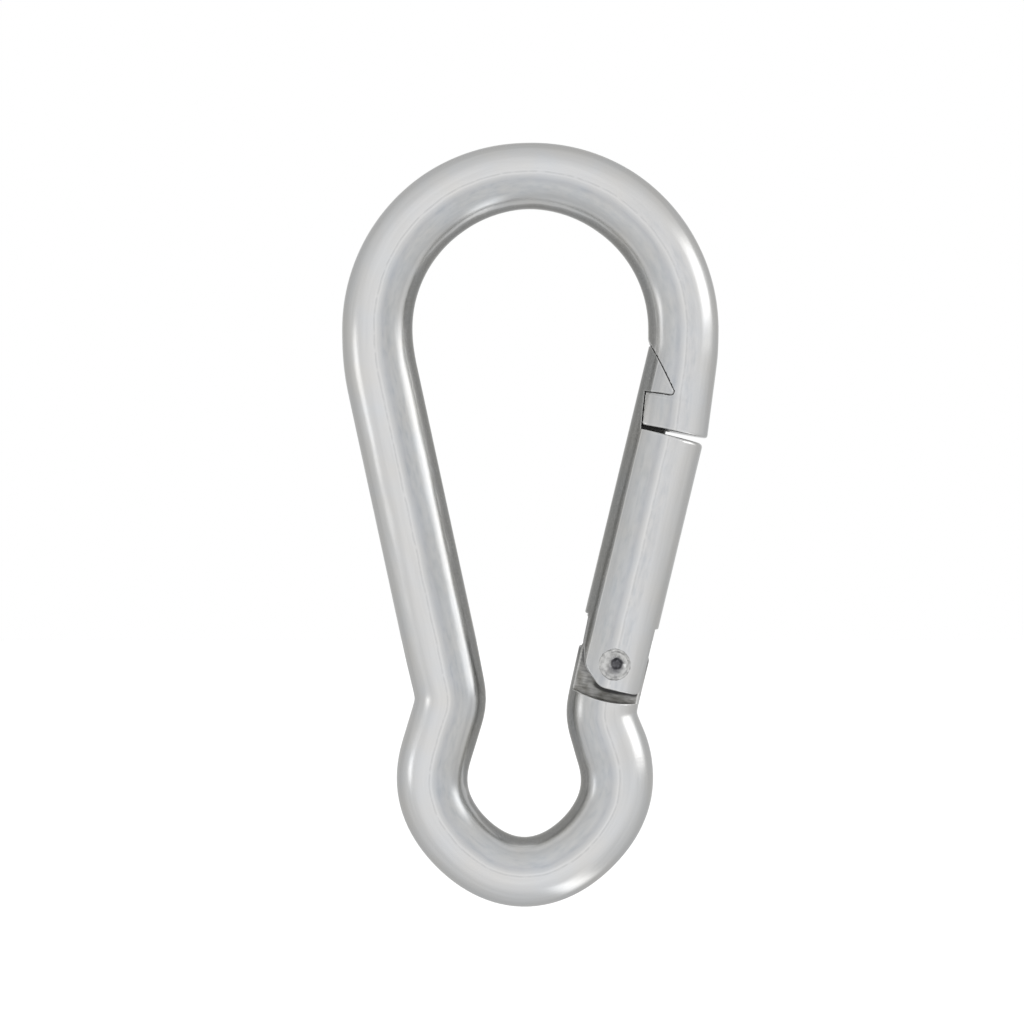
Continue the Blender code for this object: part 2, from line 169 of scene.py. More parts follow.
# Fine meshes
CELL = 0.15  # grid of the fields
CHART_CELL = 0.06
MARGIN = 0.4  # of a chart round its box
RING_SIDES = 96
RING_SPACING = 0.8
NOSE_REACH = 34.0  # length of bar that the nose's chart looks along
LUG_REACH = 52.0
STITCH = 0.4  # length of the band that joins a field's mesh to a swept one
NOSE_MESH = 19.0  # length of bar at the nose that a field gives
LUG_MESH = 23.0
ROUTE_STEP = 0.5
SAMPLE = 0.02  # for a field's slope
CURVE_SAMPLE = 0.12  # for a field's curvature
EDGE_BEND = 0.5
BAR_BEND = 0.2

# Wear and painted highlight on edges, painted shade in creases and along the gate's cheeks
DEEP_CREASE = -0.45  # the least that the wear and shade value gets to: the darkest painted shade in a crease
LUG_CREASE = -0.15
# Width of the painted shade along the lower edge of the gate's cheeks on the lug
CHEEK_SHADE_WIDTH = 0.6
EDGE_WEAR_AND_HIGHLIGHT_SHARE = 0.3
CREASE_SHADE_SHARE = 0.85

# Plating, and the painted light and shade across the bar. A point's side is -1 outside the loop, 0 at
# the front and back, and 1 inside the loop.
PAINTED_SHADE_FROM = 0.79  # the side that the painted shade inside is moved to
PLAIN_TO = 0.3  # the side up to which nothing is moved
PAINTED_SHADE_EDGE = [  # distance along the bar, the side where its painted shade inside begins
    *((8, 0.97), (15, 0.8), (34, 0.8), (48, 0.87), (60, 0.88), (74, 0.84), (88, 0.74)),
    *((100, 0.8), (146, 0.81), (154, 0.77), (162, 0.84), (168, 0.93), (176, 0.88)),
    *((184, 0.79), (230, 0.8)),
]
# The gate's side as seen and as coloured, so that the gate gets the same painted light and shade
GATE_SIDES = [(-1.0, 0.6, 0.66, 0.69, 1.0), (-1.0, 0.6, 0.6, 0.81, 1.0)]  # as seen, as coloured
# Painted light and shade: light outside the loop and dark inside it, with a painted highlight at 0.875
# to 0.886 just before the dark inside
SIDE_STOPS = (  # half of (side + 1), colour
    (0.0, (0.81, 0.81, 0.8)),
    (0.3, 0.81),
    (0.47, 0.84),
    (0.495, 0.84),
    (0.52, (0.745, 0.75, 0.755)),
    (0.585, (0.62, 0.628, 0.642)),
    (0.66, (0.65, 0.655, 0.655)),
    (0.8, (0.65, 0.655, 0.655)),
    (0.83, (0.76, 0.76, 0.755)),
    (0.875, (0.84, 0.84, 0.83)),
    (0.886, (0.84, 0.84, 0.83)),
    (0.9, (0.56, 0.56, 0.55)),
    (0.93, (0.46, 0.46, 0.45)),
    (1.0, (0.42, 0.42, 0.4)),
)
DENT_STOPS = (  # from the rivet's rim to the darkest painted shade in its punch mark
    (0.0, (0.72, 0.72, 0.71)),
    (0.3, 0.56),
    (0.55, (0.38, 0.38, 0.39)),
    (0.8, (0.2, 0.2, 0.215)),
    (1.0, (0.12, 0.12, 0.13)),
)
MOTTLE_STOPS = ((0.3, (0.9, 0.92, 0.94)), (0.5, (0.985, 0.99, 1.0)), (0.7, 1.03))
SPECKLE_STOPS = ((0.35, 0.8), (0.6, 1.0), (0.75, 1.35))
STREAK_STOPS = ((0.25, 0.95), (0.5, 1.0), (0.75, 1.04))
CLOUD_STOPS = ((0.3, (0.985, 1.0, 1.02)), (0.5, 1.0), (0.7, (1.01, 1.0, 0.985)))
STAIN_STOPS = ((0.38, (0.6, 0.59, 0.56)), (0.62, 1.0))
SMEAR_STOPS = ((0.35, 0.72), (0.6, 1.05))
LINE_PLACE = -0.06  # the side of the drawing die's line
LINE_SHARE = 0.22
LINE_COLOUR = (0.4, 0.41, 0.42, 1.0)
# Lighter edges are wear and a painted highlight; the near-black is painted shade in creases and along
# the gate's cheeks
EDGE_WEAR_AND_HIGHLIGHT_COLOUR = (0.85, 0.85, 0.84, 1.0)
CREASE_SHADE_COLOUR = (0.02, 0.02, 0.022, 1.0)
# The darkest and lightest steel of the milled faces. The gate's are darker: partly bare steel, partly
# painted shade that keeps its rib and slot dark in their gaps.
BODY_CUT = ((0.3, 0.3, 0.295), (0.66, 0.655, 0.64))
GATE_CUT_AND_SHADE = (0.1, 0.26)
STEEL_ROUGHNESS = 0.19
SWELL = 0.09  # depth of the bar's slow waves
GRAIN = 0.006

# Studio
BOX_LAYERS = (1.2, 0.95, 0.7)
LAYER_SPACING = 0.01
SOFT_BOXES = [  # name, angles from and round the front, width, height, brightness, distance
    ("left_box", 76, 182, 0.22, 0.26, 0.9, 0.5),
    ("right_box", 84, 18, 0.68, 0.48, 1.05, 3.0),
    ("low_box", 86, -66, 0.8, 0.24, 0.78, 0.5),
]
DIM_PATCH = (0.5, -0.866, 0.05)
DIM_SHARE = 0.1
TENT = (  # degrees from the front, brightness
    *((0, 0.82), (40, 0.82), (56, 0.75), (72, 0.68), (88, 0.63)),
    *((104, 0.58), (120, 0.5), (140, 0.47), (156, 0.55), (172, 0.85)),
)
CAMERA_AT = (-2.88, -600.0, 1.96)
CAMERA_LENS = 134.3
FLOOR_RADIUS = 6.0  # metres
FLOOR_HEIGHT = -0.22

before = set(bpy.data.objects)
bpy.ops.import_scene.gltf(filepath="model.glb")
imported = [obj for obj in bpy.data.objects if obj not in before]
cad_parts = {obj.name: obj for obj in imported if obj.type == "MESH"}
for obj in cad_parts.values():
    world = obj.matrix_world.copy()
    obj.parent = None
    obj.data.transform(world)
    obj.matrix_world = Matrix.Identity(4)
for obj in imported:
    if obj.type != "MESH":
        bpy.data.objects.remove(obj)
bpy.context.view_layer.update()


# -------- frames and outlines


def gate_frame():
    place = Matrix.Translation((PIVOT[0] * MM, 0.0, PIVOT[1] * MM))
    return place @ Matrix.Rotation(math.radians(GATE_TILT), 4, "Y")


def in_gate_frame(points):
    """Points of the hook's XZ plane, as an array in the gate's frame."""
    tilt = math.radians(GATE_TILT)
    moved = np.array(points, float) - np.array(PIVOT)
    across = moved @ np.array([math.cos(tilt), -math.sin(tilt)])
    along = moved @ np.array([math.sin(tilt), math.cos(tilt)])
    return np.stack([across, along], axis=1)


def from_gate_frame(point):
    tilt = math.radians(GATE_TILT)
    x = PIVOT[0] + point[0] * math.cos(tilt) + point[1] * math.sin(tilt)
    return (x, PIVOT[1] - point[0] * math.sin(tilt) + point[1] * math.cos(tilt))


def arc(centre, radius, start, end, step):
    count = max(2, round(abs(end - start) / step))
    angles = [math.radians(start + (end - start) * i / count) for i in range(count + 1)]
    return [(centre[0] + radius * math.cos(a), centre[1] + radius * math.sin(a)) for a in angles]


def rounded(corner, before, after, radius, step=3.0):
    """The arc that rounds a corner between two straight runs."""
    corner = Vector(corner)
    towards_before = (Vector(before) - corner).normalized()
    towards_after = (Vector(after) - corner).normalized()
    half = towards_before.angle(towards_after) / 2
    centre = corner + (towards_before + towards_after).normalized() * (radius / math.sin(half))
    first = corner + towards_before * (radius / math.tan(half)) - centre
    last = corner + towards_after * (radius / math.tan(half)) - centre
    start = math.degrees(math.atan2(first.y, first.x))
    turn = math.degrees(math.atan2(last.y, last.x)) - start
    turn = (turn + 180) % 360 - 180
    return arc(centre, radius, start, start + turn, step)


def round_the_rivet(radius, across):
    return (across, math.sqrt(radius * radius - across * across))


# -------- the bar's route


def eye_arc(start, end, step=3.0):
    count = round(abs(end - start) / step)
    points = []
    for i in range(count + 1):
        turn = math.radians(start + (end - start) * i / count)
        pull = EYE_FLATTENING * math.sin(2 * turn) ** 2 if math.sin(turn) < 0 else 0.0
        radius = EYE_RADIUS * (1 - pull)
        across = EYE_CENTRE[0] + radius * math.cos(turn)
        points.append((across, EYE_CENTRE[1] + radius * math.sin(turn)))
    return points


def rough_route():
    """(x, z, bar radius) along the centreline in the hook's frame, from the nose to the lug."""
    blend_centre = (BOW_CENTRE[0] - BOW_RADIUS + LEG_BLEND_RADIUS, BOW_CENTRE[1])
    turns = (0.0, BOW_SHOULDER, 90.0, 180.0 - BOW_SHOULDER, 180.0)
    bow = [arc(BOW_CENTRE, BOW_RADIUS, a, b, 2.0) for a, b in zip(turns, turns[1:])]
    right_bow, right_crown, left_crown, left_bow = bow
    blend = arc(blend_centre, LEG_BLEND_RADIUS, 180.0, 180.0 + LEG_TILT, 2.0)
    left_eye = eye_arc(EYE_START, 225.0)
    bottom_eye = eye_arc(225.0, 315.0)
    right_eye = eye_arc(315.0, EYE_END)
    end = from_gate_frame((BAR_AXIS, FORK_TOP))
    leg_bend = rounded(LEG_CORNER, blend[-1], left_eye[0], TIGHT_BEND_RADIUS)
    lug_bend = rounded(LUG_CORNER, right_eye[-1], end, TIGHT_BEND_RADIUS)
    above_leg_bend = tuple(Vector(leg_bend[0]).lerp(Vector(blend[-1]), LEG_BEND_RUN))
    stretches = [
        ([NOSE_TIP], NOSE_BAR, NOSE_BAR),
        (rounded(NOSE_CORNER, NOSE_TIP, right_bow[0], NOSE_BEND_RADIUS), NOSE_BAR, NOSE_BAR),
        (right_bow, BOW_SIDE_BAR, BOW_SHOULDER_BAR),
        (right_crown[1:], BOW_SHOULDER_BAR, CROWN_BAR),
        (left_crown[1:], CROWN_BAR, BOW_SHOULDER_BAR),
        (left_bow[1:], BOW_SHOULDER_BAR, BOW_SIDE_BAR),
        (blend[1:], BOW_SIDE_BAR, LEG_BAR),
        ([above_leg_bend], LEG_BAR, LEG_BAR),
        (leg_bend, LEG_BEND_BAR, LEG_BEND_BAR),
        (left_eye, EYE_SIDE_BAR, EYE_BAR),
        (bottom_eye[1:], EYE_BAR, EYE_BAR),
        (right_eye[1:], EYE_BAR, EYE_SHOULDER_BAR),
        (lug_bend, LUG_BEND_BAR, LUG_BEND_BAR),
        ([end], LUG_BAR, LUG_BAR),
    ]
    route = []
    for points, first, last in stretches:
        for i, (x, z) in enumerate(points):
            share = i / max(1, len(points) - 1)
            route.append((x, z, first + (last - first) * share))
    return np.array(route)


def length_along(points):
    steps = np.hypot(*np.diff(points[:, :2], axis=0).T)
    return np.concatenate([[0.0], np.cumsum(steps)])


def make_route():
    """The centreline in the gate's frame at even steps, eased so that no joint of it shows."""
    rough = rough_route()
    rough[:, :2] = in_gate_frame(rough[:, :2])
    place = length_along(rough)
    count = round(place[-1] / ROUTE_STEP)
    even = np.linspace(0.0, place[-1], count + 1)
    route = np.stack([np.interp(even, place, rough[:, i]) for i in range(3)], axis=1)
    for _ in range(6):
        route[1:-1] = 0.25 * route[:-2] + 0.5 * route[1:-1] + 0.25 * route[2:]
    return route


ROUTE = make_route()
PLACE = length_along(ROUTE)
NOSE_SEARCH = round(NOSE_REACH / ROUTE_STEP)
LUG_SEARCH = len(ROUTE) - round(LUG_REACH / ROUTE_STEP)


# -------- distance fields


def nearest_on_route(x, z, first, last):
    """For each point: distance from the centreline, offset inwards, place along, bar radius."""
    route = ROUTE[first:last]
    place = PLACE[first:last]
    answers = np.zeros((len(x), 4))
    nearest = np.full(len(x), 1e9)
    for i in range(len(route) - 1):
        start = route[i]
        step = route[i + 1] - start
        run = math.hypot(step[0], step[1])
        share = ((x - start[0]) * step[0] + (z - start[1]) * step[1]) / run**2
        share = np.clip(share, 0.0, 1.0)
        off_x = x - start[0] - share * step[0]
        off_z = z - start[1] - share * step[1]
        away = np.hypot(off_x, off_z)
        inwards = (off_z * step[0] - off_x * step[1]) / run
        found = np.stack([away, inwards, place[i] + share * run, start[2] + share * step[2]], 1)
        answers = np.where((away < nearest)[:, None], found, answers)
        nearest = np.minimum(nearest, away)
    return answers


def outline_distance(x, z, outline):
    """Distance from a closed outline in the XZ plane, below zero inside it."""
    nearest = np.full(len(x), 1e9)
    inside = np.zeros(len(x), bool)
    for (ax, az), (bx, bz) in zip(outline, outline[1:] + outline[:1]):
        run_x, run_z = bx - ax, bz - az
        share = ((x - ax) * run_x + (z - az) * run_z) / (run_x**2 + run_z**2)
        share = np.clip(share, 0.0, 1.0)
        nearest = np.minimum(nearest, (x - ax - share * run_x) ** 2 + (z - az - share * run_z) ** 2)
        crosses = (az > z) != (bz > z)
        if run_z != 0.0:
            inside ^= crosses & (x < ax + (z - az) * run_x / run_z)
    return np.where(inside, -1.0, 1.0) * np.sqrt(nearest)


class Chart:
    """Values over the XZ plane, worked out once on a fine grid and read between its points."""

    def __init__(self, values_at, box, *details):
        low, high = (np.array(corner)[[0, 2]] for corner in box)
        self.low = low - MARGIN
        size = np.ceil((high - low + 2 * MARGIN) / CHART_CELL).astype(int) + 1
        axes = [self.low[i] + np.arange(size[i]) * CHART_CELL for i in (0, 1)]
        x, z = np.meshgrid(*axes, indexing="ij")
        self.values = values_at(x.ravel(), z.ravel(), *details).reshape(*size, -1)

    def __call__(self, points):
        spot = (points[:, [0, 2]] - self.low) / CHART_CELL
        cell = np.clip(spot.astype(int), 0, np.array(self.values.shape[:2]) - 2)
        share_x, share_z = (spot - cell).T[..., None]
        i, j = cell.T
        near = self.values[i, j] * (1 - share_z) + self.values[i, j + 1] * share_z
        far = self.values[i + 1, j] * (1 - share_z) + self.values[i + 1, j + 1] * share_z
        return (near * (1 - share_x) + far * share_x).T


def slab_field(values, half):
    return np.abs(values) - half


def both(first, second, radius):
    """What is inside two fields, with its edge rounded."""
    corner = np.hypot(np.maximum(radius + first, 0.0), np.maximum(radius + second, 0.0))
    return np.minimum(-radius, np.maximum(first, second)) + corner


def without(first, second, radius):
    return both(first, -second, radius)


def joined(first, second, radius):
    return -both(-first, -second, radius)


def blended(first, second, reach):
    """What is inside either of two fields that run nearly side by side, without a crease."""
    near = np.maximum(reach - np.abs(first - second), 0.0) / reach
    return np.minimum(first, second) - near * near * reach / 4


# -------- outlines of the cuts


def cam_radius(degrees):
    return min(CAM_HIGH, CAM_LOW + CAM_RISE * math.radians(degrees))


def above_the_cam():
    first, last = CAM_ENDS
    cam = []
    for i in range(33):
        degrees = last + (first - last) * i / 32
        turn = math.radians(degrees)
        radius = cam_radius(degrees)
        cam.append((-radius * math.sin(turn), radius * math.cos(turn)))
    top = FORK_TOP + OVERSHOOT
    return [(WIDE, top), (-WIDE, top), (-WIDE, cam[0][1]), *cam, (WIDE, LUG_SHOULDER)]


def strip_face(height, gap):
    return (-height * math.tan(math.radians(STRIP_ANGLE)) + gap, height)


def tooth_corner(gap):
    corner = Vector(round_the_rivet(TOOTH_REACH, TOOTH_TIP))
    upwards = (Vector(TOOTH_TOP) - corner).normalized()
    outwards = Vector((upwards.y, -upwards.x))
    start = corner + outwards * gap
    reach = TOOTH_REACH - gap
    along = start.dot(upwards)
    travel = math.sqrt(along * along - start.length_squared + reach * reach) - along
    return start + upwards * travel, upwards


def tooth_outline(gap, root_gap):
    """The tooth's lower face, rounded tip and upper face, moved out from the gate by a gap."""
    reach = TOOTH_REACH - gap
    corner, upwards = tooth_corner(gap)
    root = strip_face(reach, root_gap)[0]
    lower = [round_the_rivet(reach, root + (corner.x - root) * i / 5) for i in range(5)]
    above = tuple(corner + upwards * FAR / 2)
    tip = rounded(corner, lower[-1], above, TOOTH_TIP_ROUND + gap, 12.0)
    return [*lower, *tip, above]


def nose_notch():
    low = strip_face(GATE_TOP - OVERSHOOT, LATCH_GAP)
    tooth = tooth_outline(TOOTH_GAP, LATCH_GAP)
    return [(-FAR, low[1]), low, *tooth, (-FAR, TOOTH_TOP[1] + OVERSHOOT)]


def gate_outline():
    beyond = 2 * GATE_RADIUS
    cheek = BAR_AXIS + math.sqrt(GATE_RADIUS**2 - FORK_HALF**2) + CHEEK_OUT
    outline = [(-beyond, HEEL[0][1]), HEEL[0]]
    corners = [*HEEL, (cheek, GATE_BOTTOM), (cheek, FORK_TOP)]
    for before, corner, after, bend in zip(corners, corners[1:], corners[2:], FORK_BENDS):
        outline += rounded(corner, before, after, *bend)
    outline += [corners[-1], (beyond, FORK_TOP), (beyond, GATE_TOP)]
    tooth = tooth_outline(0.0, 0.0)
    outline += [strip_face(GATE_TOP, 0.0), *tooth, (-beyond, TOOTH_TOP[1] + OVERSHOOT)]
    return outline


NOSE_BOX = ((-9.5, -5.8, 36.4), (6.4, 5.8, 57.8))
LUG_BOX = ((-6.4, -6.1, -18.8), (10.5, 6.1, 6.8))
GATE_BOX = ((-6.56, -6.2, -4.25), (5.84, 6.2, 49.7))
NOSE_CHART = Chart(nearest_on_route, NOSE_BOX, 0, NOSE_SEARCH)
LUG_CHART = Chart(nearest_on_route, LUG_BOX, LUG_SEARCH, None)
NOTCH_CHART = Chart(outline_distance, NOSE_BOX, nose_notch())
CAM_CHART = Chart(outline_distance, LUG_BOX, above_the_cam())
GATE_CHART = Chart(outline_distance, GATE_BOX, gate_outline())


# -------- the steel pieces as fields


def bar_field(points, chart):
    away, _, _, radius = chart(points)
    return np.hypot(away, points[:, 1]) - radius


def ragged(x, z):
    """Two crossed waves that keep the hairline between notch and gate from being even."""
    return RAGGED * np.sin(3.9 * z + 1.7 * x) * np.sin(8.3 * z - 2.9 * x + 1.3)


def nose_field(points):
    """The nose: the bar's end, notched behind its claw, with a slot for the gate's rib."""
    bar = bar_field(points, NOSE_CHART)
    x, y, z = points.T
    left, right = Vector(NOSE_END_LEFT), Vector(NOSE_END_RIGHT)
    slope = (right - left).normalized()
    below_end = (x - left.x) * -slope.y + (z - left.y) * slope.x
    notch = NOTCH_CHART(points)[0] + ragged(x, z)
    beside_slot = np.maximum(
        slab_field(y, RIB_HALF + CLEARANCE),
        np.maximum(x - RIB_END - CLEARANCE, z - RIB_TOP - CLEARANCE),
    )
    claw = np.hypot(x - CLAW_AXIS, y) - NOSE_BAR + CLAW_TAPER * np.maximum(z - CLAW_TOP, 0.0)
    nose = without(blended(bar, claw, CLAW_BLEND), notch, CLAW_EDGE)
    nose = both(nose, -below_end, NOSE_EDGE)
    return without(nose, beside_slot, SMALL_EDGE)


def lug_field(points):
    """The lug: the bar's other end, milled to a tongue with a cam on top."""
    bar = bar_field(points, LUG_CHART)
    x, y, z = points.T
    shelf = np.hypot(x - BAR_AXIS, z - SHELF_LOW - SHELF_RADIUS) - SHELF_RADIUS
    milled = both(shelf, -slab_field(y, LUG_HALF), SMALL_EDGE)
    lug = without(bar, milled, MILLED_EDGE)
    lug = without(lug, CAM_CHART(points)[0], CAM_EDGE)
    return without(lug, np.hypot(x, z) - HOLE_RADIUS, SMALL_EDGE)


def rivet_seat(points):
    """What the rivet takes out of each cheek: a hole, a countersink and a counterbore."""
    x, y, z = points.T
    from_rivet = np.hypot(x, z)
    depth = np.abs(y)
    hole = from_rivet - RIVET_RADIUS - CLEARANCE / 2
    slope = (SEAT_RADIUS - RIVET_RADIUS) / (SEAT_FLOOR - SEAT_CONE_FOOT)
    cone = (from_rivet - RIVET_RADIUS - (depth - SEAT_CONE_FOOT) * slope) / math.hypot(1, slope)
    return np.minimum(hole, np.maximum(cone, from_rivet - SEAT_RADIUS))


def gate_field(points):
    """The gate: a round bar with a fork below, a tooth and a rib above, and the spring's bore."""
    x, y, z = points.T
    from_axis = np.hypot(x - BAR_AXIS, y)
    edge = np.interp(z, [FORK_TOP, FORK_TOP + 2], [FORK_EDGE, GATE_EDGE])
    edge = np.where(z > GATE_TOP / 2, np.interp(x, [-4.0, 2.0], [TOOTH_EDGE, GATE_EDGE]), edge)
    gate = both(from_axis - GATE_RADIUS, GATE_CHART(points)[0], edge)
    rib = both(slab_field(y, RIB_HALF), np.maximum(x - RIB_END, z - RIB_TOP), RIB_EDGE)
    rib = np.maximum(rib, np.maximum(RIB_START - x, GATE_TOP - OVERSHOOT - z))
    gate = joined(gate, rib, SMALL_EDGE)
    slot = both(slab_field(y, FORK_HALF), z - FORK_TOP, SLOT_EDGE / 2)
    gate = without(gate, slot, SLOT_EDGE)
    gate = without(gate, rivet_seat(points), SEAT_EDGE)
    return without(gate, np.maximum(from_axis - BORE_RADIUS, z - BORE_TOP), SMALL_EDGE)


# -------- from a field to a mesh


def field_on_grid(field, low, high):
    """The field on a grid that is even about the mid-plane, and the grid's three axes."""
    axes = []
    for a, b in zip(low, high):
        count = int(math.ceil((b - a) / CELL))
        middle = (a + b) / 2
        axes.append(middle + (np.arange(count + 1) - count / 2) * CELL)
    half = axes[1][len(axes[1]) // 2 :]
    grid = np.stack(np.meshgrid(axes[0], half, axes[2], indexing="ij"), axis=-1)
    values = field(grid.reshape(-1, 3)).reshape(grid.shape[:3])
    skip = 1 if len(axes[1]) % 2 else 0
    return np.concatenate([values[:, ::-1][:, : values.shape[1] - skip], values], axis=1), axes


def slope_of(field, points, reach=SAMPLE):
    """The field's gradient, and the sum of its six samples."""
    slope = np.zeros_like(points)
    total = np.zeros(len(points))
    for axis in range(3):
        step = np.zeros(3)
        step[axis] = reach
        ahead = field(points + step)
        behind = field(points - step)
        slope[:, axis] = (ahead - behind) / (2 * reach)
        total += ahead + behind
    return slope, total


def onto_surface(field, points, rounds=3):
    for _ in range(rounds):
        slope = slope_of(field, points)[0]
        steepness = np.maximum((slope**2).sum(1), 0.2)
        move = slope * (field(points) / steepness)[:, None]
        far = np.maximum(np.linalg.norm(move, axis=1) / (CELL / 2), 1.0)
        points = points - move / far[:, None]
    return points


def crossed_cells(values, inside):
    """The grid's cells that the surface runs through, and the surface's mean place in each."""
    size = np.array(values.shape) - 1
    total = np.zeros((*size, 3))
    hits = np.zeros(size)
    corners = [(i, j, k) for i in (0, 1) for j in (0, 1) for k in (0, 1)]
    edges = [(corner, axis) for corner in corners for axis in range(3) if not corner[axis]]
    for corner, axis in edges:
        other = list(corner)
        other[axis] = 1
        part_a = tuple(slice(c, c + n) for c, n in zip(corner, size))
        part_b = tuple(slice(c, c + n) for c, n in zip(other, size))
        a, b = values[part_a], values[part_b]
        crosses = inside[part_a] != inside[part_b]
        share = np.where(crosses, a / np.where(crosses, a - b, 1.0), 0.0)
        for i in range(3):
            total[..., i] += np.where(crosses, share if i == axis else corner[i], 0.0)
        hits += crosses
    cells = np.argwhere(hits > 0)
    return cells, total[tuple(cells.T)] / hits[tuple(cells.T)][:, None]


def quads_across(axis, inside, numbers):
    """A four-sided face round each of the grid's edges along an axis that the surface crosses."""
    others = [(axis + 1) % 3, (axis + 2) % 3]
    change = -np.diff(inside.astype(int), axis=axis)
    spots = np.argwhere(change != 0)
    for other in others:
        spots = spots[(spots[:, other] > 0) & (spots[:, other] < numbers.shape[other])]
    outwards = change[tuple(spots.T)] > 0
    ring = []
    for back in ((1, 1), (0, 1), (0, 0), (1, 0)):
        cell = spots.copy()
        cell[:, others] -= back
        ring.append(numbers[tuple(cell.T)])
    quads = np.stack(ring, axis=1)
    quads[~outwards] = quads[~outwards][:, ::-1]
    return quads


def surface(field, low, high):
    """A field's surface inside a box, as points and four-sided faces (the surface-nets method)."""
    values, axes = field_on_grid(field, low, high)
    inside = values < 0
    cells, offsets = crossed_cells(values, inside)
    numbers = np.full(np.array(values.shape) - 1, -1)
    numbers[tuple(cells.T)] = np.arange(len(cells))
    start = np.array([axis[0] for axis in axes])
    points = start + (cells + offsets) * CELL
    faces = [quads_across(axis, inside, numbers) for axis in range(3)]
    return onto_surface(field, points), np.concatenate(faces)


def cut_off(points, faces, at, facing):
    """Cuts a mesh with a plane and keeps what lies behind it. Also gives the cut's points."""
    shape = bmesh.new()
    made = [shape.verts.new(p) for p in points]
    for face in faces:
        shape.faces.new([made[i] for i in face])
    geometry = shape.verts[:] + shape.edges[:] + shape.faces[:]
    bmesh.ops.bisect_plane(
        shape, geom=geometry, plane_co=at, plane_no=facing, clear_outer=True, dist=1e-5
    )
    shape.verts.index_update()
    kept = np.array([v.co[:] for v in shape.verts])
    kept_faces = [[v.index for v in face.verts] for face in shape.faces]
    edge = [v.index for v in shape.verts if v.is_boundary]
    shape.free()
    return kept, kept_faces, edge


def by_angle(points, loop, centre, side):
    """A loop's points in the order of their angle round an axis, with the angles."""
    off = points[loop] - np.array(centre)
    angles = np.arctan2(off[:, 1], off @ np.array(side)) % (2 * math.pi)
    order = np.argsort(angles)
    return [loop[i] for i in order], angles[order]


def stitch(points, first, second, centre, side):
    """Three-sided faces between two loops of points round the same axis."""
    a, angle_a = by_angle(points, first, centre, side)
    b, angle_b = by_angle(points, second, centre, side)
    angle_a = np.append(angle_a, [2 * math.pi + angle_a[0], math.inf])
    angle_b = np.append(angle_b, [2 * math.pi + angle_b[0], math.inf])
    faces = []
    i = j = 0
    while i < len(a) or j < len(b):
        if angle_a[i + 1] <= angle_b[j + 1]:
            faces.append([a[(i + 1) % len(a)], a[i % len(a)], b[j % len(b)]])
            i += 1
        else:
            faces.append([a[i % len(a)], b[j % len(b)], b[(j + 1) % len(b)]])
            j += 1
    return faces


def add_object(name, data):
    made = bpy.data.objects.new(name, data)
    bpy.context.scene.collection.objects.link(made)
    return made


def closed_piece(name, shape):
    """An object of a closed bmesh, with its faces turned outwards."""
    bmesh.ops.recalc_face_normals(shape, faces=shape.faces)
    mesh = bpy.data.meshes.new(name)
    shape.to_mesh(mesh)
    shape.free()
    mesh.shade_smooth()
    return add_object(name, mesh)


class Shape:
    """A mesh that grows part by part, with what its material needs to know at each point.

    place is the distance inwards from the bar's axis, the depth and the distance along. inner is
    the side that the plating's colour, with its painted light and shade, goes by. milled is the
    depth under the plain round bar. The last value is above zero on an edge, for wear and a
    painted highlight, and below zero for painted shade in a crease and along the gate's cheeks.
    """

    def __init__(self):
        self.parts = []
        self.faces = []
        self.count = 0

    def add(self, points, faces, **values):
        first = self.count
        self.parts.append({"points": points, **values})
        self.faces += [[i + first for i in face] for face in faces]
        self.count += len(points)
        return first

    def all(self, key):
        return np.concatenate([part[key] for part in self.parts])

    def add_field(self, field, points, faces, crease=DEEP_CREASE, darkened=0.0, **values):
        slope = slope_of(field, points)[0]
        normals = slope / np.linalg.norm(slope, axis=1)[:, None]
        around = slope_of(field, points, CURVE_SAMPLE)[1]
        bend = (around - 6 * field(points)) / CURVE_SAMPLE**2
        # Lighter on convex edges, for wear and a painted highlight; below zero for painted shade in
        # concave creases and along the gate's cheeks on the lug
        worn = np.clip(bend * EDGE_BEND - BAR_BEND, crease, 1.0) - darkened
        return self.add(points, faces, normals=normals, worn=worn, **values)

    def build(self, name):
        turn = np.array(gate_frame().to_3x3())
        shift = np.array(gate_frame().translation)
        mesh = bpy.data.meshes.new(name)
        mesh.from_pydata(self.all("points") @ turn.T * MM + shift, [], self.faces)
        mesh.shade_smooth()
        mesh.normals_split_custom_set_from_vertices(self.all("normals") @ turn.T)
        places = mesh.attributes.new("place", "FLOAT_VECTOR", "POINT")
        places.data.foreach_set("vector", self.all("place").astype(np.float32).ravel())
        for key in ("inner", "milled", "worn"):
            layer = mesh.attributes.new(key, "FLOAT", "POINT")
            layer.data.foreach_set("value", self.all(key).astype(np.float32))
        return add_object(name, mesh)


# -------- hook body and gate


def route_values(distance):
    return np.array([np.interp(distance, PLACE, values) for values in ROUTE.T])


def route_at(distance):
    """Centre, inward direction, forward direction and bar radius at a distance along the bar."""
    x, z, radius = route_values(distance)
    step = route_values(distance + ROUTE_STEP / 2) - route_values(distance - ROUTE_STEP / 2)
    across, up = step[:2] / np.hypot(*step[:2])
    return np.array((x, 0, z)), np.array((-up, 0, across)), np.array((across, 0, up)), radius


def inner_share(share, along):
    """The share, stretched so that the painted shade inside always begins at one set side."""
    begins = np.interp(along, *zip(*PAINTED_SHADE_EDGE))
    stretched = PLAIN_TO + (share - PLAIN_TO) * (PAINTED_SHADE_FROM - PLAIN_TO) / (begins - PLAIN_TO)
    return np.where(share < PLAIN_TO, share, stretched)


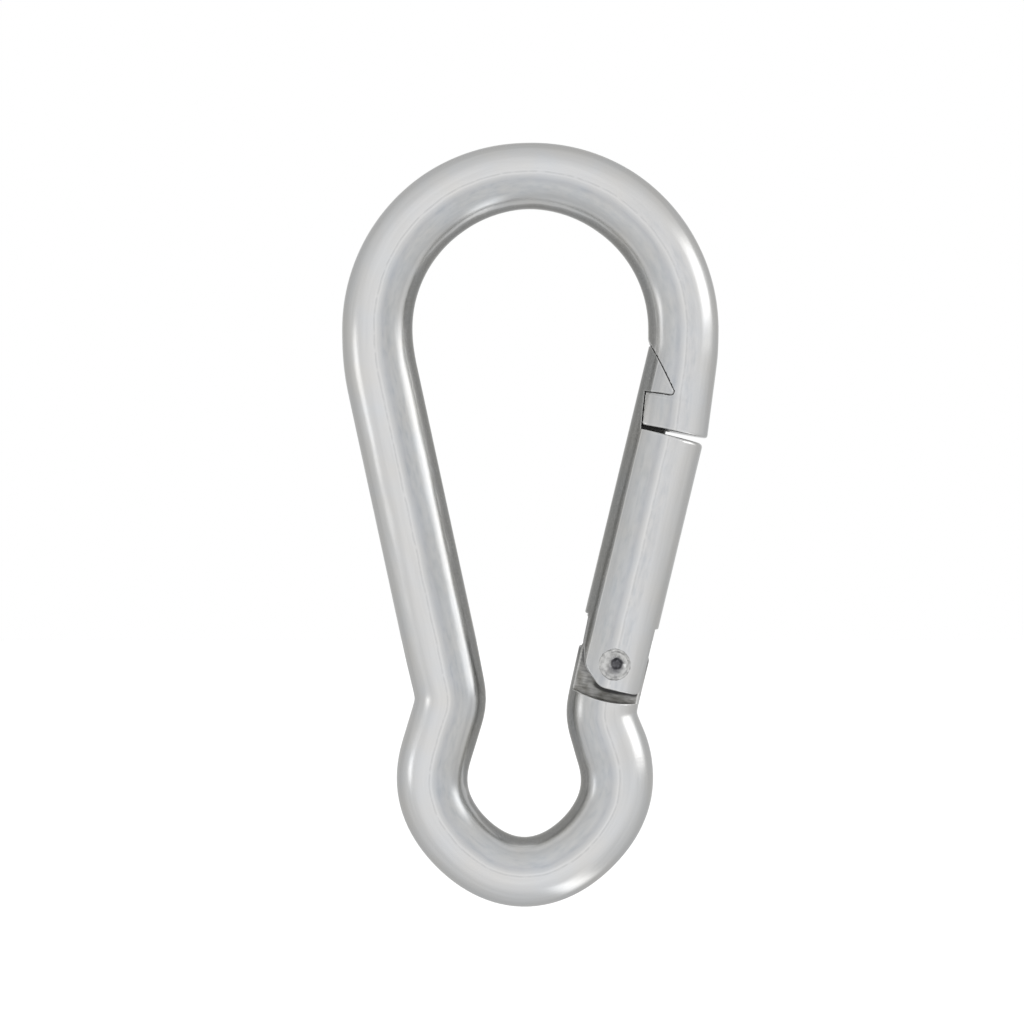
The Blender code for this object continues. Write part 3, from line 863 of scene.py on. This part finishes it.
def lug_darkening(points):
    """How much the lug's faces between the gate's cheeks are darkened: painted shade along the cheeks'
    lower edge, and darker towards the top of the fork.
    """
    x, y, z = points.T
    beside = np.clip(1.0 - np.abs(GATE_CHART(points)[0] - CHEEK_SHADE_WIDTH / 3) / CHEEK_SHADE_WIDTH, 0.0, 1.0)
    strength = np.interp(z, [GATE_BOTTOM, GATE_BOTTOM + 0.5, 0.0], [1.3, 0.2, 0.0])
    strength *= np.interp(x, [-3.4, -2.2, 1.5, 3.0], [0.15, 1.0, 1.0, 0.55])
    darkening = np.maximum(beside * strength, np.interp(z, [-3.0, 1.0], [0.0, 0.6]))
    return np.where((np.abs(y) < FORK_HALF) & (z < FORK_TOP), darkening, 0.0)


def add_swept_bar(shape, start, end):
    """Rings of points round the bar between two distances along it. Gives the outermost two."""
    angles = np.arange(RING_SIDES) * 2 * math.pi / RING_SIDES
    around = np.stack([np.cos(angles), np.sin(angles)], axis=1)
    plain = np.zeros(RING_SIDES)
    rings = []
    for distance in np.linspace(start, end, round((end - start) / RING_SPACING) + 1):
        centre, side, _, radius = route_at(distance)
        out = np.outer(around[:, 0], side) + np.outer(around[:, 1], (0.0, 1.0, 0.0))
        place = np.column_stack([around * radius, plain + distance])
        inner = inner_share(around[:, 0], plain + distance)
        values = {"normals": out, "place": place, "inner": inner, "milled": plain, "worn": plain}
        first = shape.add(centre + out * radius, [], **values)
        rings.append(list(range(first, first + RING_SIDES)))
    for lower, upper in zip(rings, rings[1:]):
        corners = zip(lower[1:] + lower[:1], lower, upper, upper[1:] + upper[:1])
        shape.faces += [list(face) for face in corners]
    return rings[0], rings[-1]


def add_bar_end(shape, field, box, chart, distance, backwards, crease):
    """One end of the bar from its field, cut square across at a distance along the bar."""
    centre, side, ahead, _ = route_at(distance)
    points, faces, edge = cut_off(*surface(field, *box), centre, ahead * backwards)
    _, inwards, along, radius = chart(points)
    place = np.column_stack([inwards, points[:, 1], along])
    inner = inner_share(inwards / radius, along)
    milled = -bar_field(points, chart)
    milled[(points[:, 0] > RIB_END + 2 * CLEARANCE) & (points[:, 2] > GATE_TOP)] = 0.0
    values = {"place": place, "inner": inner, "milled": milled}
    start = shape.add_field(field, points, faces, crease, lug_darkening(points), **values)
    return [start + i for i in edge], centre, side


def make_body():
    shape = Shape()
    lug_cut = PLACE[-1] - LUG_MESH
    nose = add_bar_end(shape, nose_field, NOSE_BOX, NOSE_CHART, NOSE_MESH, 1, DEEP_CREASE)
    lug = add_bar_end(shape, lug_field, LUG_BOX, LUG_CHART, lug_cut, -1, LUG_CREASE)
    first_ring, last_ring = add_swept_bar(shape, NOSE_MESH + STITCH, lug_cut - STITCH)
    points = shape.all("points")
    shape.faces += stitch(points, nose[0], first_ring, *nose[1:])
    shape.faces += stitch(points, last_ring, lug[0], *lug[1:])
    return shape.build("hook_body_fine")


def make_gate():
    points, faces = surface(gate_field, *GATE_BOX)
    inwards = BAR_AXIS - points[:, 0]
    place = np.column_stack([inwards, points[:, 1], points[:, 2]])
    shape = Shape()
    inner = np.interp(inwards / GATE_RADIUS, *GATE_SIDES)
    milled = GATE_RADIUS - np.hypot(inwards, points[:, 1])
    by_rivet = np.hypot(points[:, 0], points[:, 2]) < SEAT_RADIUS + 0.2
    milled[by_rivet & (np.abs(points[:, 1]) > SEAT_FLOOR)] = 0.0
    milled[(points[:, 0] > RIB_END) & (points[:, 2] > GATE_TOP - 1)] = 0.0
    values = {"place": place, "inner": inner, "milled": milled}
    shape.add_field(gate_field, points, faces.tolist(), **values)
    return shape.build("gate_fine")


# -------- rivet, plunger, spring


def eased(profile, points_a_run):
    """A smooth curve through a profile's points (Catmull-Rom)."""
    ends = [profile[0], *profile, profile[-1]]
    made = []
    for before, start, end, after in zip(ends, ends[1:], ends[2:], ends[3:]):
        p0, p1, p2, p3 = (np.array(p) for p in (before, start, end, after))
        for t in np.arange(points_a_run) / points_a_run:
            curve = 2 * p1 + (p2 - p0) * t + (2 * p0 - 5 * p1 + 4 * p2 - p3) * t * t
            made.append((curve + (3 * p1 - p0 - 3 * p2 + p3) * t**3) / 2)
    made.append(np.array(profile[-1]))
    return made


def turned(name, profile, sides=96):
    """A profile of (radius, height) points, from one end of the axis to the other, turned."""
    shape = bmesh.new()
    rings = []
    for radius, height in profile:
        if radius < 1e-6:
            rings.append([shape.verts.new((0.0, 0.0, height * MM))])
            continue
        ring = []
        for i in range(sides):
            turn = 2 * math.pi * i / sides
            x, y = radius * MM * math.cos(turn), radius * MM * math.sin(turn)
            ring.append(shape.verts.new((x, y, height * MM)))
        rings.append(ring)
    for lower, upper in zip(rings, rings[1:]):
        for i in range(sides):
            j = (i + 1) % sides
            corners = [lower[i % len(lower)], lower[j % len(lower)]]
            corners += [upper[j % len(upper)], upper[i % len(upper)]]
            shape.faces.new(list(dict.fromkeys(corners)))
    return closed_piece(name, shape)


def rivet_profile():
    """Radius and height from the middle of one end to the middle of the other."""
    head = [(radius, RIM_HEIGHT - down) for radius, down in HEAD_PROFILE]
    head.append((RIVET_RIM, SEAT_FLOOR - 0.1))
    upper = [tuple(p) for p in eased(head, 5)]
    upper += [(RIVET_RADIUS, SEAT_CONE_FOOT), (RIVET_RADIUS, FORK_HALF), (RIVET_RADIUS, 0.0)]
    return upper + [(radius, -height) for radius, height in reversed(upper[:-1])]


def punched(x, y, depth):
    """Where the punch left a point of the rivet's end, and how dark it is painted there."""
    radius, turn = math.hypot(x, y), math.atan2(y, x)
    pull = max(0.0, 1.0 - (radius / PUNCH_REACH) ** 2)
    blows = sum(high * math.sin(n * turn + spiral * radius + phase) for n, spiral, phase, high in BLOWS)
    share = min(1.0, max(0.0, (radius - 0.3) / 0.8)) * min(1.0, (RIVET_RIM - radius) / 0.4)
    below_middle_patch = max(0.0, 1.0 - math.hypot(x - 0.1, y + 0.95) / 1.5)
    shade = max(0.0, 1.0 - radius / 1.3) * y / 0.6
    # Painted shade: darker deeper in the punch mark and on its upper wall, lighter on its lower wall,
    # and darker in a patch just below the middle
    dark = 0.75 * (RIM_HEIGHT - depth) + 0.6 * below_middle_patch + 0.4 * shade
    x += PUNCH_SHIFT[0] * pull
    y += PUNCH_SHIFT[1] * pull
    return x, y, depth + blows * max(0.0, share), dark


def make_rivet():
    """A rivet whose flared ends were closed with a punch, a little off centre."""
    rivet = turned("hinge_rivet_fine", rivet_profile())
    dents = rivet.data.attributes.new("dent_shade", "FLOAT", "POINT")
    for vertex, dent_shade in zip(rivet.data.vertices, dents.data):
        x, y, z = (value / MM for value in vertex.co)
        if abs(z) < SEAT_CONE_FOOT + 0.1:
            continue
        x, y, depth, dent_shade.value = punched(x, y, abs(z))
        vertex.co = (x * MM, y * MM, math.copysign(depth, z) * MM)
    rivet.data.transform(gate_frame() @ Matrix.Rotation(math.radians(90), 4, "X"))
    return rivet


def along_the_gate(piece):
    piece.data.transform(gate_frame() @ Matrix.Translation((BAR_AXIS * MM, 0.0, 0.0)))
    return piece


def make_plunger():
    dome = arc((0.0, PLUNGER_TIP + PLUNGER_RADIUS), PLUNGER_RADIUS, -90.0, 0.0, 6.0)
    dome[0] = (0.0, PLUNGER_TIP)
    outline = [(PLUNGER_RADIUS, PLUNGER_SHOULDER - PIN_CHAMFER)]
    outline += [(PLUNGER_RADIUS - PIN_CHAMFER, PLUNGER_SHOULDER), (STEM_RADIUS, PLUNGER_SHOULDER)]
    outline += [(STEM_RADIUS, STEM_TOP - PIN_CHAMFER), (STEM_RADIUS - PIN_CHAMFER, STEM_TOP)]
    return along_the_gate(turned("plunger_fine", dome + outline + [(0.0, STEM_TOP)], 64))


def make_spring(points_a_turn=28, wire_sides=12):
    """A compression coil whose first and last turns close up."""
    count = SPRING_TURNS * points_a_turn
    closed_pitch = 2.6 * SPRING_WIRE
    low, high = SPRING_BOTTOM + SPRING_WIRE, SPRING_TOP - SPRING_WIRE
    open_pitch = (high - low - 2 * closed_pitch) / (SPRING_TURNS - 2)
    shape = bmesh.new()
    rings = []
    for i in range(count + 1):
        turns = i / points_a_turn
        middle = min(max(turns - 1, 0.0), SPRING_TURNS - 2)
        angle = 2 * math.pi * turns
        height = low + (turns - middle) * closed_pitch + middle * open_pitch
        ring = []
        for k in range(wire_sides):
            round_wire = 2 * math.pi * k / wire_sides
            out = SPRING_RADIUS + SPRING_WIRE * math.cos(round_wire)
            up = height + SPRING_WIRE * math.sin(round_wire)
            x, y = out * math.cos(angle), out * math.sin(angle)
            ring.append(shape.verts.new((x * MM, y * MM, up * MM)))
        rings.append(ring)
    for first, second in zip(rings, rings[1:]):
        for k in range(wire_sides):
            m = (k + 1) % wire_sides
            shape.faces.new((first[k], first[m], second[m], second[k]))
    shape.faces.new(rings[0][::-1])
    shape.faces.new(rings[-1])
    return along_the_gate(closed_piece("gate_spring_fine", shape))


# -------- materials


class Nodes:
    """Adds nodes to a tree, each with its settings and with values or links on its inputs."""

    def __init__(self, tree):
        self.tree = tree

    def add(self, kind, inputs=None, **settings):
        node = self.tree.nodes.new("ShaderNode" + kind)
        for key, value in settings.items():
            setattr(node, key, value)
        self.fill(node, inputs or {})
        return node

    def fill(self, node, inputs):
        for key, value in inputs.items():
            if isinstance(value, bpy.types.NodeSocket):
                self.tree.links.new(value, node.inputs[key])
            else:
                node.inputs[key].default_value = value

    def attribute(self, name, output="Fac"):
        return self.add("Attribute", attribute_name=name).outputs[output]

    def maths(self, operation, first, second=0.0):
        return self.add("Math", {0: first, 1: second}, operation=operation).outputs[0]

    def scaled(self, value, factor, offset):
        inputs = {0: value, 1: factor, 2: offset}
        return self.add("Math", inputs, operation="MULTIPLY_ADD").outputs[0]

    def step(self, value, low, high):
        """A smooth step from 0 to 1 between two values."""
        inputs = {"Value": value, "From Min": low, "From Max": high}
        return self.add("MapRange", inputs, interpolation_type="SMOOTHSTEP").outputs[0]

    def mix(self, share, first, second, blend="MIX"):
        inputs = {0: share, 6: first, 7: second}
        return self.add("Mix", inputs, data_type="RGBA", blend_type=blend).outputs[2]

    def tinted(self, colour, tone):
        return self.mix(1.0, colour, tone, "MULTIPLY")

    def noise(self, place, scale, detail=2.0, stretch=(1.0, 1.0, 1.0)):
        moved = self.add("VectorMath", {0: place, 1: stretch}, operation="MULTIPLY")
        inputs = {"Vector": moved.outputs[0], "Scale": scale, "Detail": detail}
        return self.add("TexNoise", inputs).outputs["Fac"]

    def ramp(self, value, stops):
        node = self.add("ValToRGB", {"Fac": value})
        elements = node.color_ramp.elements
        while len(elements) < len(stops):
            elements.new(1.0)
        for element, (position, colour) in zip(elements, stops):
            element.position = position
            element.color = (*colour, 1.0) if isinstance(colour, tuple) else (colour,) * 3 + (1.0,)
        return node.outputs["Color"]

    def bump(self, height, distance, **normal):
        inputs = {"Height": height, "Strength": 1.0, "Distance": distance * MM, **normal}
        return self.add("Bump", inputs).outputs[0]

    def finish(self, shader, colour, roughness, normal, metallic=1.0):
        inputs = {"Base Color": colour, "Roughness": roughness, "Normal": normal}
        self.fill(shader, {**inputs, "Metallic": metallic})


def new_material(name):
    material = bpy.data.materials.new(name)
    material.use_nodes = True
    tree = material.node_tree
    return material, Nodes(tree), tree.nodes["Principled BSDF"]


def plating_colour(nodes, place, inner):
    """Painted light and shade across the bar: bright outside the loop, bluish and mottled past the draw
    line, and painted shade on the inside.
    """
    wander = nodes.scaled(nodes.noise(place, 0.5, 2.0, (0.0, 0.0, 0.4)), 0.08, -0.04)
    side = nodes.maths("ADD", inner, wander)
    # SIDE_STOPS paint light and shade across the bar, with a painted highlight just before the painted
    # shade inside
    colour = nodes.ramp(nodes.scaled(side, 0.5, 0.5), SIDE_STOPS)
    mottle = nodes.ramp(nodes.noise(place, 1.6, 4.0, (1.0, 1.0, 0.3)), MOTTLE_STOPS)
    band = nodes.maths("SUBTRACT", nodes.step(side, 0.05, 0.2), nodes.step(side, 0.4, 0.7))
    along = nodes.add("SeparateXYZ", {0: place}).outputs["Z"]
    outer = nodes.maths("SUBTRACT", nodes.step(side, -0.45, -0.3), nodes.step(side, -0.12, -0.02))
    nose = nodes.maths("MULTIPLY", outer, nodes.step(along, 45.0, 25.0))
    band = nodes.maths("ADD", band, nose)
    colour = nodes.mix(band, colour, nodes.tinted(colour, mottle))
    speckle = nodes.ramp(nodes.noise(place, 5.0, 2.0), SPECKLE_STOPS)
    # Speckle over the painted shade inside the loop
    painted_shade_inside = nodes.step(side, 0.78, 0.84)
    colour = nodes.mix(painted_shade_inside, colour, nodes.tinted(colour, speckle))
    streaks = nodes.noise(place, 1.1, 3.0, (1.0, 1.0, 0.06))
    colour = nodes.tinted(colour, nodes.ramp(streaks, STREAK_STOPS))
    colour = nodes.tinted(colour, nodes.ramp(nodes.noise(place, 0.16, 2.0), CLOUD_STOPS))
    from_line = nodes.maths("ABSOLUTE", nodes.maths("SUBTRACT", side, LINE_PLACE))
    line = nodes.maths("SUBTRACT", 1.0, nodes.step(from_line, 0.01, 0.04))
    broken = nodes.step(nodes.noise(place, 0.7, 3.0, (0.0, 0.0, 1.0)), 0.3, 0.55)
    line = nodes.maths("MULTIPLY", line, nodes.maths("MULTIPLY", broken, LINE_SHARE))
    return nodes.mix(line, colour, LINE_COLOUR), streaks


def plated_steel(name, cut_dark, cut_light):
    """Bright zinc over drawn bar, with painted light and shade across it. Where the bar is milled it is
    bare, darker and less shiny.
    """
    material, nodes, shader = new_material(name)
    place = nodes.attribute("place", "Vector")
    worn = nodes.attribute("worn")
    colour, streaks = plating_colour(nodes, place, nodes.attribute("inner"))
    cut = nodes.step(nodes.attribute("milled"), 0.05, 0.3)
    tool_marks = nodes.noise(place, 1.5, 4.0, (0.5, 0.5, 2.6))
    stains = nodes.ramp(nodes.noise(place, 0.6, 3.0), STAIN_STOPS)
    cut_colour = nodes.ramp(tool_marks, ((0.3, cut_dark), (0.7, cut_light)))
    colour = nodes.mix(cut, colour, nodes.tinted(cut_colour, stains))
    # Lighter convex edges are wear and a painted highlight; the near-black in creases and by the gate's
    # cheeks is painted shade
    edge = nodes.step(worn, 0.1, 0.8)
    crease = nodes.step(nodes.maths("MULTIPLY", worn, -1.0), 0.1, 0.9)
    colour = nodes.mix(nodes.maths("MULTIPLY", edge, EDGE_WEAR_AND_HIGHLIGHT_SHARE), colour, EDGE_WEAR_AND_HIGHLIGHT_COLOUR)
    colour = nodes.mix(nodes.maths("MULTIPLY", crease, CREASE_SHADE_SHARE), colour, CREASE_SHADE_COLOUR)
    grain = nodes.noise(place, 6.0, 3.0)
    roughness = nodes.scaled(cut, 0.2, nodes.scaled(grain, 0.1, STEEL_ROUGHNESS))
    swell = nodes.noise(place, 0.35, 1.0, (1.0, 1.0, 0.35))
    waves = nodes.bump(nodes.scaled(streaks, 0.1, swell), SWELL)
    marks = nodes.scaled(tool_marks, nodes.maths("MULTIPLY", cut, 1.5), grain)
    normal = nodes.bump(marks, GRAIN, Normal=waves)
    nodes.finish(shader, colour, roughness, normal, nodes.scaled(cut, -0.6, 1.0))
    return material


def punched_steel(name):
    """The rivet's ends: bright on the flared rim, with painted shade down in the punch mark."""
    material, nodes, shader = new_material(name)
    place = nodes.add("TexCoord").outputs["Object"]
    patches = nodes.noise(place, 900.0, 3.0)
    depth = nodes.maths("ADD", nodes.attribute("dent_shade"), nodes.scaled(patches, 0.5, -0.25))
    smears = nodes.ramp(nodes.noise(place, 1600.0, 2.0), SMEAR_STOPS)
    colour = nodes.tinted(nodes.ramp(depth, DENT_STOPS), smears)
    nodes.finish(shader, colour, nodes.scaled(patches, 0.15, 0.14), nodes.bump(patches, 0.05))
    return material


def plain_steel(name, dark, light, roughness, scale, grain):
    """Bare steel with clouded colour and a fine grain."""
    material, nodes, shader = new_material(name)
    place = nodes.add("TexCoord").outputs["Object"]
    colour = nodes.ramp(nodes.noise(place, scale, 4.0), ((0.3, dark), (0.7, light)))
    fine = nodes.noise(place, scale * 4, 3.0)
    nodes.finish(shader, colour, nodes.scaled(fine, 0.15, roughness), nodes.bump(fine, grain))
    return material


# -------- studio


def studio_world():
    """A soft white tent, brightest in front of and behind the hook. The camera sees plain white."""
    world = bpy.data.worlds.new("tent")
    bpy.context.scene.world = world
    world.use_nodes = True
    nodes = Nodes(world.node_tree)
    background = world.node_tree.nodes["Background"]
    output = world.node_tree.nodes["World Output"]
    direction = nodes.add("TexCoord").outputs["Generated"]
    parts = nodes.add("SeparateXYZ", {0: direction})
    forward = nodes.maths("MULTIPLY", parts.outputs["Y"], -1.0)
    turn = nodes.maths("DIVIDE", nodes.maths("ARCCOSINE", forward), math.pi)
    stops = tuple((degrees / 180, value) for degrees, value in TENT)
    towards = nodes.add("VectorMath", {0: direction, 1: DIM_PATCH}, operation="DOT_PRODUCT")
    dim = nodes.maths("MULTIPLY", nodes.step(towards.outputs["Value"], 0.94, 0.99), DIM_SHARE)
    tent = nodes.mix(dim, nodes.ramp(turn, stops), (0.0, 0.0, 0.0, 1.0))
    nodes.fill(background, {"Color": tent, "Strength": 1.0})
    plain = nodes.add("Background", {"Color": (1.0, 1.0, 1.0, 1.0), "Strength": 1.0})
    seen = nodes.add("LightPath").outputs["Is Camera Ray"]
    inputs = {0: seen, 1: background.outputs[0], 2: plain.outputs[0]}
    nodes.fill(output, {"Surface": nodes.add("MixShader", inputs).outputs[0]})


def soft_box(name, from_front, round_front, width, height, brightness, distance):
    """Nested area lights that fade towards their rim, placed by angles from and round the front.

    The width and height are shares of the distance, which is in metres.
    """
    away, around = math.radians(from_front), math.radians(round_front)
    out = Vector((math.sin(away) * math.cos(around), -math.cos(away), math.sin(away) * math.sin(around)))
    for layer, share in enumerate(BOX_LAYERS):
        light = bpy.data.lights.new(name, "AREA")
        light.shape = "RECTANGLE"
        light.size = width * share * distance
        light.size_y = height * share * distance
        light.energy = brightness / len(BOX_LAYERS) * math.pi * light.size * light.size_y
        light.normalize = True
        lamp = add_object(name, light)
        lamp.location = out * distance * (1 + LAYER_SPACING * layer)
        lamp.rotation_euler = out.to_track_quat("Z", "Y").to_euler()
        lamp.visible_camera = False


def make_floor():
    shape = bmesh.new()
    bmesh.ops.create_circle(shape, cap_ends=True, segments=96, radius=FLOOR_RADIUS)
    mesh = bpy.data.meshes.new("studio_floor")
    shape.to_mesh(mesh)
    shape.free()
    floor = add_object("studio_floor", mesh)
    floor.location = (0.0, 0.0, FLOOR_HEIGHT)
    material, nodes, shader = new_material("pale_floor")
    nodes.fill(shader, {"Base Color": (0.9, 0.9, 0.9, 1.0), "Roughness": 0.8})
    nodes.fill(shader, {"Emission Color": (1.0, 1.0, 1.0, 1.0), "Emission Strength": 0.55})
    mesh.materials.append(material)
    floor.visible_glossy = False


def make_camera():
    data = bpy.data.cameras.new("camera")
    data.lens = CAMERA_LENS
    data.sensor_width = 36.0
    data.clip_start = 0.01
    data.clip_end = 20.0
    camera = add_object("camera", data)
    camera.location = [value * MM for value in CAMERA_AT]
    camera.rotation_euler = (math.radians(90), 0.0, 0.0)
    bpy.context.scene.camera = camera


# -------- the scene


def place_piece(piece, material, body, node):
    piece.data.materials.clear()
    piece.data.materials.append(material)
    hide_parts(node)
    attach(piece, body)


make_camera()
studio_world()
for box in SOFT_BOXES:
    soft_box(*box)
make_floor()
bpy.context.scene.view_settings.view_transform = "Standard"

body_steel = plated_steel("plated_body", *BODY_CUT)
gate_steel = plated_steel("plated_gate", *GATE_CUT_AND_SHADE)
rivet_steel = punched_steel("rivet_steel")
pin_steel = plain_steel("plunger_steel", (0.3, 0.3, 0.31), (0.5, 0.5, 0.52), 0.2, 1500.0, 0.005)
wire_steel = plain_steel("spring_wire", (0.2, 0.2, 0.22), (0.4, 0.4, 0.42), 0.25, 1200.0, 0.005)

place_piece(make_body(), body_steel, "hook_body", "hook_body")
place_piece(make_gate(), gate_steel, "gate", "gate")
place_piece(make_rivet(), rivet_steel, "gate", "hinge_rivet")
place_piece(make_plunger(), pin_steel, "plunger", "plunger")
spring = make_spring()
place_piece(spring, wire_steel, "gate", "gate_spring")
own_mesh(spring)
